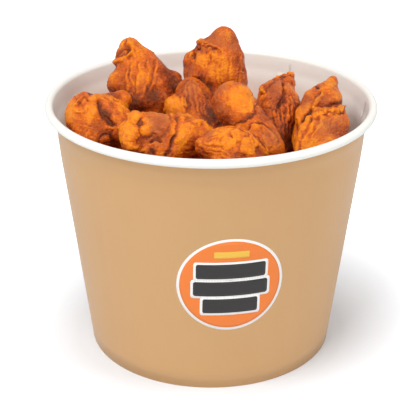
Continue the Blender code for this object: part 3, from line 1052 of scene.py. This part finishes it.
def visible_wings() -> list[FriedWing]:
    """The wings that show, each with its own folds, knobs, patches and roast."""
    gold, russet, dark, dry = Tone.GOLD, Tone.RUSSET, Tone.DARK, Tone.DRY
    return [
        FriedWing(
            "wing_tall_left", 11, 0.49,
            folds=(Fold((0.30, 0.93), (0.42, 0.74), (0.04, 0.74), 2.2, 2.4),
                   Fold((0.12, 0.80), (0.23, 0.87), (0.31, 0.84), -1.4, 1.3),
                   *pleats(Fold((0.28, 0.66), (0.26, 0.52), (0.30, 0.38), 0.5, 1.3),
                           Fold((0.62, 0.72), (0.64, 0.55), (0.56, 0.40), 0.5, 1.3), 5)),
            patches=(Patch((0.42, 0.80), 7.0, gold), Patch((0.13, 0.96), 5.0, gold),
                     Patch((0.50, 0.56), 6.0, gold), Patch((0.45, 0.28), 8.0, russet),
                     Patch((0.62, 0.34), 7.0, dark),
                     Patch((0.20, 0.83), 4.0, dry), Patch((0.12, 0.34), 8.0, dark),
                     Patch((0.30, 0.24), 9.0, dark), Patch((0.90, 0.50), 8.0, dark),
                     Patch((0.78, 0.64), 6.0, russet))),
        FriedWing(
            "wing_tall_centre", 12, 0.44,
            folds=(Fold((0.12, 0.77), (0.16, 0.87), (0.33, 0.85), 1.6, 1.6),
                   Fold((0.17, 0.73), (0.25, 0.77), (0.27, 0.82), -1.8, 1.4),
                   Fold((0.38, 0.82), (0.46, 0.85), (0.56, 0.77), 1.0, 1.2),
                   *pleats(Fold((0.52, 0.66), (0.50, 0.58), (0.56, 0.50), 0.4, 1.3),
                           Fold((0.86, 0.72), (0.90, 0.62), (0.84, 0.52), 0.4, 1.3), 4)),
            knobs=(Knob((0.30, 0.70), 5.0, 0.8),),
            patches=(Patch((0.47, 0.89), 8.0, dry), Patch((0.78, 0.84), 6.0, dry),
                     Patch((0.30, 0.70), 6.0, gold), Patch((0.50, 0.63), 9.0, gold),
                     Patch((0.04, 0.66), 6.0, russet),
                     Patch((0.88, 0.90), 5.0, russet), Patch((0.27, 0.56), 6.0, russet),
                     Patch((0.30, 0.42), 10.0, dark))),
        FriedWing(
            "wing_left", 13, 0.48,
            folds=(Fold((0.90, 0.59), (0.66, 0.95), (0.41, 0.88), 1.4, 2.8),
                   Fold((0.18, 0.78), (0.24, 1.00), (0.34, 0.84), 0.9, 1.3),
                   Fold((0.44, 0.76), (0.50, 0.55), (0.63, 0.46), -2.4, 3.0),
                   Fold((0.16, 0.66), (0.24, 0.60), (0.30, 0.68), 0.7, 1.2)),
            knobs=(Knob((0.24, 0.87), 4.0, 1.0), Knob((0.55, 0.22), 4.5, 1.2),
                   Knob((0.68, 0.28), 4.0, 1.0)),
            patches=(Patch((0.12, 0.66), 6.0, gold), Patch((0.34, 0.62), 5.0, gold),
                     Patch((0.43, 0.90), 3.5, gold), Patch((0.72, 0.74), 4.0, gold),
                     Patch((0.24, 0.90), 4.0, russet), Patch((0.48, 1.00), 5.0, dry),
                     Patch((0.53, 0.58), 4.5, dark), Patch((0.63, 0.22), 7.0, russet))),
        FriedWing(
            "wing_front_left", 14, 0.41,
            folds=(Fold((0.98, 0.70), (0.78, 0.95), (0.57, 0.94), 2.0, 1.5),
                   Fold((0.59, 0.95), (0.66, 0.60), (0.51, 0.29), -1.3, 2.2),
                   Fold((0.36, 0.48), (0.40, 0.55), (0.45, 0.52), -1.2, 1.2),
                   *pleats(Fold((0.06, 0.50), (0.12, 0.44), (0.20, 0.40), 0.4, 1.1),
                           Fold((0.10, 0.38), (0.18, 0.34), (0.28, 0.33), 0.4, 1.1), 3)),
            knobs=(Knob((0.16, 0.89), 4.5, 1.8), Knob((0.10, 0.64), 7.0, 1.8),
                   Knob((0.38, 0.84), 9.0, 1.4), Knob((0.29, 0.66), 4.2, 2.0)),
            patches=(Patch((0.42, 0.68), 8.0, dry), Patch((0.44, 0.89), 6.0, dry),
                     Patch((0.16, 0.88), 4.0, gold), Patch((0.66, 0.72), 6.0, gold),
                     Patch((0.62, 0.45), 5.0, gold), Patch((0.10, 0.76), 4.0, gold),
                     Patch((0.30, 0.66), 3.0, gold), Patch((0.88, 0.42), 8.0, russet),
                     Patch((0.36, 0.34), 3.0, dark))),
        FriedWing(
            "wing_middle", 15, 0.50,
            folds=pleats(Fold((0.38, 0.94), (0.26, 0.78), (0.34, 0.62), 0.55, 1.1),
                         Fold((0.50, 0.94), (0.68, 0.78), (0.68, 0.50), 0.55, 1.1), 6),
            knobs=(Knob((0.20, 0.61), 8.0, 1.8),),
            patches=(Patch((0.42, 0.84), 8.0, dry), Patch((0.46, 0.66), 5.0, dry),
                     Patch((0.18, 0.62), 7.0, gold), Patch((0.70, 0.64), 7.0, russet),
                     Patch((0.78, 0.46), 7.0, dark))),
        FriedWing(
            "wing_round_end", 16, 0.40,
            folds=(Fold((0.36, 0.50), (0.56, 0.54), (0.62, 0.72), -1.0, 2.2),
                   Fold((0.88, 0.31), (0.74, 0.52), (0.54, 0.45), 1.1, 1.3)),
            patches=(Patch((0.46, 0.82), 8.0, gold), Patch((0.50, 0.68), 5.0, gold),
                     Patch((0.04, 0.76), 5.0, russet), Patch((0.10, 0.66), 5.0, dry),
                     Patch((0.14, 0.92), 4.0, dry), Patch((0.82, 0.36), 7.0, dry),
                     Patch((0.18, 0.54), 6.0, russet), Patch((0.70, 0.60), 6.0, russet)),
            crust=Crust(0.8, 0.4, 0.45, 0.45)),
        FriedWing(
            "wing_front_middle", 17, 0.42,
            folds=(Fold((0.96, 0.53), (0.77, 0.87), (0.57, 0.98), 1.7, 1.5),
                   *pleats(Fold((0.06, 0.75), (0.16, 0.83), (0.28, 0.86), 0.5, 1.1),
                           Fold((0.06, 0.65), (0.23, 0.55), (0.42, 0.48), 0.5, 1.1), 5)),
            knobs=(Knob((0.43, 0.72), 4.5, 1.1), Knob((0.70, 0.65), 5.5, 1.3),
                   Knob((0.56, 0.84), 4.0, 0.9)),
            patches=(Patch((0.36, 0.83), 6.0, gold), Patch((0.72, 0.65), 6.0, gold),
                     Patch((0.47, 0.66), 6.0, gold), Patch((0.17, 0.88), 5.0, dry),
                     Patch((0.11, 0.56), 5.0, russet), Patch((0.55, 0.50), 5.0, russet))),
        FriedWing(
            "wing_dark", 18, 0.60,
            folds=(Fold((0.22, 0.80), (0.47, 0.99), (0.88, 0.99), 1.6, 1.7),
                   Fold((0.96, 0.67), (0.98, 0.84), (0.80, 0.95), 1.3, 1.6),
                   Fold((0.65, 0.88), (0.66, 0.74), (0.50, 0.60), -2.6, 1.7),
                   *pleats(Fold((0.47, 0.60), (0.43, 0.47), (0.51, 0.33), 0.7, 1.2),
                           Fold((0.76, 0.71), (0.80, 0.52), (0.71, 0.28), 0.7, 1.2), 5)),
            knobs=(Knob((0.36, 0.52), 3.5, 1.2), Knob((0.30, 0.64), 3.0, 0.8)),
            patches=(Patch((0.49, 0.78), 10.0, dry), Patch((0.22, 0.74), 4.5, gold),
                     Patch((0.52, 0.97), 5.0, gold), Patch((0.92, 0.80), 4.5, gold),
                     Patch((0.59, 0.67), 3.5, dark), Patch((0.20, 0.50), 6.0, dark),
                     Patch((0.70, 0.30), 9.0, dark))),
        FriedWing(
            "wing_right", 19, 0.38,
            folds=(Fold((0.54, 0.75), (0.48, 0.60), (0.24, 0.45), 1.8, 1.7),
                   Fold((0.12, 0.60), (0.06, 0.46), (0.20, 0.30), 1.2, 1.6),
                   Fold((0.38, 0.88), (0.44, 0.90), (0.52, 0.85), -1.4, 1.3),
                   Fold((0.02, 0.14), (0.14, 0.50), (0.50, 0.60), -2.6, 2.2),
                   Fold((0.50, 0.60), (0.72, 0.64), (0.98, 0.66), -2.2, 2.0)),
            knobs=(Knob((0.76, 0.90), 4.0, 0.9),),
            patches=(Patch((0.30, 0.68), 6.0, dry), Patch((0.66, 0.66), 6.0, dry),
                     Patch((0.78, 0.88), 4.0, gold), Patch((0.40, 0.60), 2.5, gold),
                     Patch((0.12, 0.50), 3.0, gold), Patch((0.22, 0.32), 5.0, dark),
                     Patch((0.42, 0.50), 4.0, dark), Patch((0.66, 0.55), 4.0, dark),
                     Patch((0.90, 0.60), 4.0, dark))),
        FriedWing(
            "wing_far_right", 20, 0.34,
            folds=(Fold((0.70, 0.87), (0.92, 0.86), (0.95, 0.98), 1.6, 1.5),
                   Fold((0.05, 0.22), (0.12, 0.74), (0.58, 0.84), 1.5, 1.5),
                   *pleats(Fold((0.22, 0.74), (0.14, 0.57), (0.07, 0.41), 0.6, 1.2),
                           Fold((0.50, 0.80), (0.46, 0.62), (0.28, 0.44), 0.6, 1.2), 4)),
            patches=(Patch((0.58, 0.60), 8.0, dry), Patch((0.92, 0.92), 3.5, gold),
                     Patch((0.08, 0.42), 4.0, gold), Patch((0.20, 0.66), 4.0, gold),
                     Patch((0.42, 0.82), 4.0, gold), Patch((0.90, 0.56), 5.0, russet))),
        FriedWing("wing_behind_right", 21, 0.45),
        FriedWing("wing_back_left", 22, 0.40),
        FriedWing("wing_back_middle", 23, 0.38),
        FriedWing("wing_back_right", 24, 0.42),
        FriedWing("wing_back_low", 25, 0.46),
    ]


@dataclass
class LowerHeap:
    """The wings under those that show, lying over a smaller core."""

    seed: int = 40
    rings: tuple[tuple[float, int], ...] = ((70.0 * MM, 11), (42.0 * MM, 7), (13.0 * MM, 3))
    half_length: float = 24.0 * MM
    half_width: float = 13.0 * MM
    core_drop: float = 14.0 * MM
    core_foot: float = 5.0 * MM
    core_share: float = 0.96
    core_voxel: float = 2.0 * MM
    lobes: int = 7
    voxel: float = 1.1 * MM

    def build(self, finish: bpy.types.Material) -> list[bpy.types.Object]:
        """Makes the core and lays wings on it.

        Args:
            finish: The fried skin's material.

        Returns:
            The finished pieces.
        """
        source = bmesh.new()
        source.from_mesh(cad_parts["lower_wings"].data)
        bmesh.ops.remove_doubles(source, verts=source.verts, dist=0.00002)
        top = BVHTree.FromBMesh(source)
        pieces = [self.core(source, finish)]
        rng = np.random.default_rng(self.seed)
        for radius, count in self.rings:
            for step in range(count):
                turn = 2 * math.pi * (step + 0.35 * rng.random()) / count
                x, y = radius * math.cos(turn), radius * math.sin(turn)
                hit = top.ray_cast(Vector((x, y, 1.0)), Vector((0.0, 0.0, -1.0)))[0]
                pieces.append(self.lay(len(pieces), hit, turn, rng, finish))
        return pieces

    def core(self, source: bmesh.types.BMesh, finish: bpy.types.Material) -> bpy.types.Object:
        """The heap's own shape, drawn in and lowered."""
        low = min(vertex.co.z for vertex in source.verts)
        for vertex in source.verts:
            vertex.co.x *= self.core_share
            vertex.co.y *= self.core_share
            if vertex.co.z > low + self.core_foot:
                vertex.co.z -= self.core_drop
        raw = new_object("core_raw", mesh_from("core_raw", source))
        mesh = evened(raw, self.core_voxel, 0)
        skin = Skin(mesh, self.seed)
        skin.add_crust(Crust(1.5, 0.8, 0.8, 0.3), np.array((1.0, 0.0, 0.0)))
        skin.paint((), 0.8)
        skin.store()
        piece = dressed("heap_core", mesh, finish)
        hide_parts("lower_wings")
        return piece

    def lay(self, number: int, place: Vector, turn: float, rng: np.random.Generator,
            finish: bpy.types.Material) -> bpy.types.Object:
        """Lays one wing with its back level with the heap's top.

        Args:
            number: Its number in the heap.
            place: The point of the heap's top over it.
            turn: The angle of that point round the bucket.
            rng: The source of its own size and slant.
            finish: The fried skin's material.

        Returns:
            The finished piece.
        """
        length = self.half_length * rng.uniform(0.85, 1.15)
        width = self.half_width * rng.uniform(0.85, 1.15)
        plump = rng.uniform(0.4, 1.0)
        heading = turn + math.pi / 2 + rng.uniform(-0.9, 0.9)
        slant = rng.uniform(-0.35, 0.35)
        lie = (Matrix.Translation(place - Vector((0.0, 0.0, 0.85 * width)))
               @ Matrix.Rotation(heading, 4, "Z") @ Matrix.Rotation(slant, 4, "Y"))
        bm = bmesh.new()
        for lobe in range(self.lobes):
            share = 2 * lobe / (self.lobes - 1) - 1
            swell = width * (0.62 + 0.38 * math.cos(1.9 * (share - 0.5 * plump)))
            spot = lie @ Matrix.Translation((share * (length - swell), 0.0, 0.0))
            bmesh.ops.create_icosphere(bm, subdivisions=3, radius=swell,
                                       matrix=spot @ Matrix.Diagonal((1.0, 1.0, 0.8, 1.0)))
        raw = new_object("lower_raw", mesh_from("lower_raw", bm))
        mesh = evened(raw, self.voxel, 8)
        skin = Skin(mesh, self.seed + number)
        bone = np.array(lie.to_3x3() @ Vector((1.0, 0.0, 0.0)))
        skin.add_crust(Crust(1.6, 0.9, 0.8, 0.3), bone)
        skin.paint((), 0.42 + 0.12 * rng.random())
        skin.store()
        return dressed(f"lower_wing_{number:02d}", mesh, finish)


# ---- The studio -----------------------------------------------------------------

@dataclass(frozen=True)
class SoftLamp:
    """A square soft lamp: where it stands, its side and its power in watts."""

    name: str
    place: tuple[float, float, float]
    size: float
    power: float


LAMPS = (
    SoftLamp("key", (-0.50, -0.60, 1.40), 0.9, 16.5),
    SoftLamp("side", (1.0, -0.2, 1.0), 0.8, 5.0),
    SoftLamp("left", (-1.3, -0.35, 0.35), 0.5, 1.2),
    SoftLamp("front", (0.4, -1.5, 0.15), 1.0, 6.0),
)


@dataclass
class Studio:
    """A pale floor, soft lamps and the camera."""

    camera_place: tuple[float, float, float] = (0.0, -0.79865, 0.45615)
    pitch: float = VIEW_PITCH
    roll: float = math.radians(0.216)
    yaw: float = math.radians(-0.034)
    lens: float = 111.18
    sensor: float = 36.0
    aim: tuple[float, float, float] = (0.0, 0.0, 0.1)
    ambient: float = 0.5

    def build(self) -> None:
        """Sets the world, floor, lamps, camera and view."""
        self.world()
        self.floor()
        for lamp in LAMPS:
            self.light(lamp)
        self.camera()
        view = bpy.context.scene.view_settings
        view.view_transform = "Standard"

    def world(self) -> None:
        """A soft grey light all round, white to the camera."""
        world = bpy.data.worlds.new("studio")
        bpy.context.scene.world = world
        world.use_nodes = True
        tree = world.node_tree
        path = tree.nodes.new("ShaderNodeLightPath")
        seen = tree.nodes.new("ShaderNodeMath")
        seen.operation = "MAXIMUM"
        tree.links.new(path.outputs["Is Camera Ray"], seen.inputs[0])
        tree.links.new(path.outputs["Is Transmission Ray"], seen.inputs[1])
        strength = tree.nodes.new("ShaderNodeMapRange")
        strength.inputs["To Min"].default_value = self.ambient
        strength.inputs["To Max"].default_value = 1.0
        tree.links.new(seen.outputs[0], strength.inputs["Value"])
        background = tree.nodes["Background"]
        background.inputs["Color"].default_value = (1.0, 1.0, 1.0, 1.0)
        tree.links.new(strength.outputs["Result"], background.inputs["Strength"])

    def floor(self) -> None:
        """A wide white floor that glows to the camera, ever more with distance from the bucket,
        which paints shade round its base, and keeps the real shadow.
        """
        bm = bmesh.new()
        bmesh.ops.create_grid(bm, x_segments=1, y_segments=1, size=4.0)
        floor = new_object("floor", mesh_from("floor", bm))
        kit = NodeKit("studio_floor")
        grain = kit.noise(3.0, 2.0)
        pale, paler = (0.81, 0.84, 0.88), (0.83, 0.86, 0.90)
        kit.join(kit.mix(kit.math("MULTIPLY", grain, 0.2), paler, pale),
                 kit.shader.inputs["Base Color"])
        kit.shader.inputs["Roughness"].default_value = 0.9
        kit.shader.inputs["Emission Color"].default_value = (1.0, 1.0, 1.0, 1.0)
        path = kit.add("ShaderNodeLightPath")
        seen = kit.math("MAXIMUM", path.outputs["Is Camera Ray"],
                        path.outputs["Is Transmission Ray"])
        away = kit.add("ShaderNodeVectorMath", operation="LENGTH")
        kit.join(kit.place(), away.inputs[0])
        # Painted shade round the base: the glow is nothing close to the bucket and rises with
        # distance, so the floor near the base stays darker than further out.
        glow = kit.add("ShaderNodeMapRange", From_Min=0.092, From_Max=0.19, To_Min=0.0, To_Max=0.64)
        kit.join(away.outputs["Value"], glow.inputs["Value"])
        kit.join(kit.math("MULTIPLY", seen, glow.outputs["Result"]),
                 kit.shader.inputs["Emission Strength"])
        floor.data.materials.append(kit.material)

    def light(self, lamp: SoftLamp) -> None:
        """Adds a lamp and turns it towards the bucket.

        Args:
            lamp: The lamp's size, place and power.
        """
        data = bpy.data.lights.new(lamp.name, "AREA")
        data.size = lamp.size
        data.energy = lamp.power
        stand = bpy.data.objects.new(lamp.name, data)
        bpy.context.scene.collection.objects.link(stand)
        stand.location = lamp.place
        aim = Vector(self.aim) - stand.location
        stand.rotation_euler = aim.to_track_quat("-Z", "Y").to_euler()

    def camera(self) -> None:
        """Places the camera and looks at the bucket from above the front."""
        data = bpy.data.cameras.new("camera")
        data.lens = self.lens
        data.sensor_width = self.sensor
        data.clip_start = 0.05
        camera = bpy.data.objects.new("camera", data)
        bpy.context.scene.collection.objects.link(camera)
        ahead = Vector((math.sin(self.yaw) * math.cos(self.pitch),
                        math.cos(self.yaw) * math.cos(self.pitch), -math.sin(self.pitch)))
        level = Vector((math.cos(self.yaw), -math.sin(self.yaw), 0.0))
        upright = level.cross(ahead)
        right = math.cos(self.roll) * level + math.sin(self.roll) * upright
        up = math.cos(self.roll) * upright - math.sin(self.roll) * level
        turn = Matrix((right, up, -ahead)).transposed().to_4x4()
        camera.matrix_world = Matrix.Translation(self.camera_place) @ turn
        bpy.context.scene.camera = camera


def main() -> None:
    """Builds the bucket, the sticker, the wings and the studio in order."""
    bucket = Bucket()
    for piece in bucket.build():
        log.info("made %s", piece.name)
    log.info("made %s", Sticker(bucket).build().name)
    fried = FriedSkin().material()
    for wing in visible_wings():
        piece = wing.build(fried)
        log.info("made %s: %d faces", piece.name, len(piece.data.polygons))
    for piece in LowerHeap().build(fried):
        log.info("made %s: %d faces", piece.name, len(piece.data.polygons))
    Studio().build()


if __name__ == "__main__":
    main()
